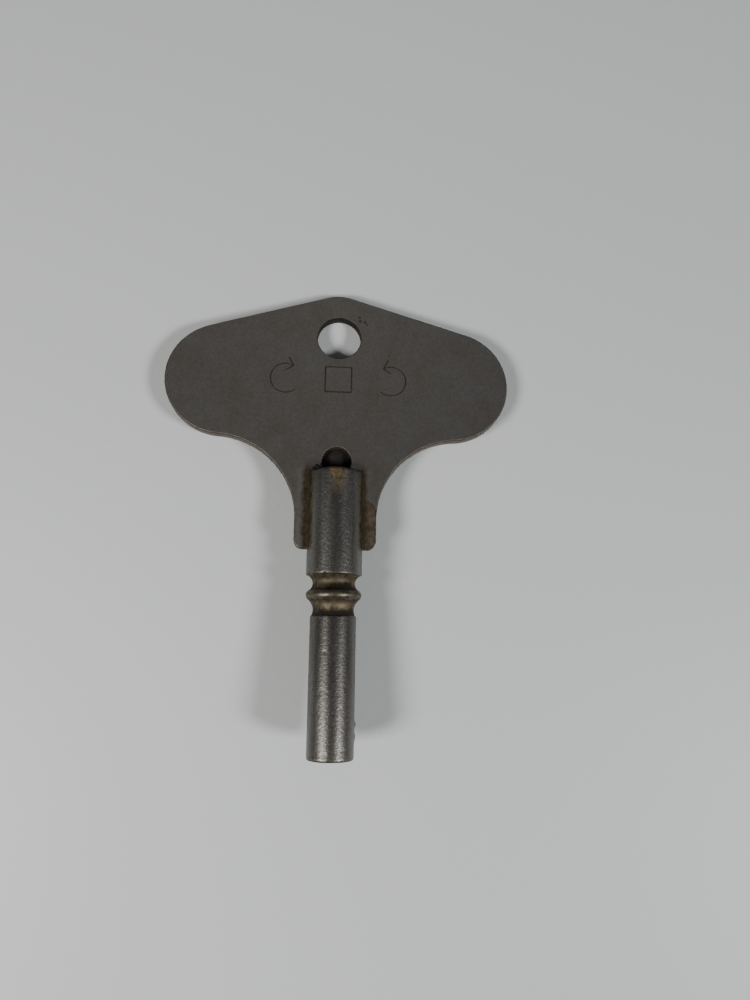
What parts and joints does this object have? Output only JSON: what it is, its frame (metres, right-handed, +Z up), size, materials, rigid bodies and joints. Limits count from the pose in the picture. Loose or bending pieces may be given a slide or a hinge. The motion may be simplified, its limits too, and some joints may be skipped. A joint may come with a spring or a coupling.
{
  "type": "clock winding key",
  "caption": "Winged key: flat stamped steel wing with a hanging hole, brazed into a turned barrel with a square socket in its end.",
  "frame": {"origin": "on the surface that the key rests on, below the middle of the whole key's box", "axes": "+Y runs along the key from the socket's mouth to the top of the wing, +X is to the right across the wing, +Z is up. The key lies as it rests, on the top edge of its wing and the top end of its barrel, so the barrel's axis dips 6.3 degrees towards the wing and the mouth stands clear of the surface"},
  "size_m": [0.043, 0.057, 0.0097],
  "materials": {
    "wing_nickel": "dull satin nickel plate, aged",
    "barrel_nickel": "semi-gloss nickel plate over turned steel",
    "braze": "tarnished spelter"
  },
  "bodies": {
    "root": {"wing_plate": "wing_nickel", "barrel": "barrel_nickel", "braze_fillets": "braze"}
  },
  "joints": []
}
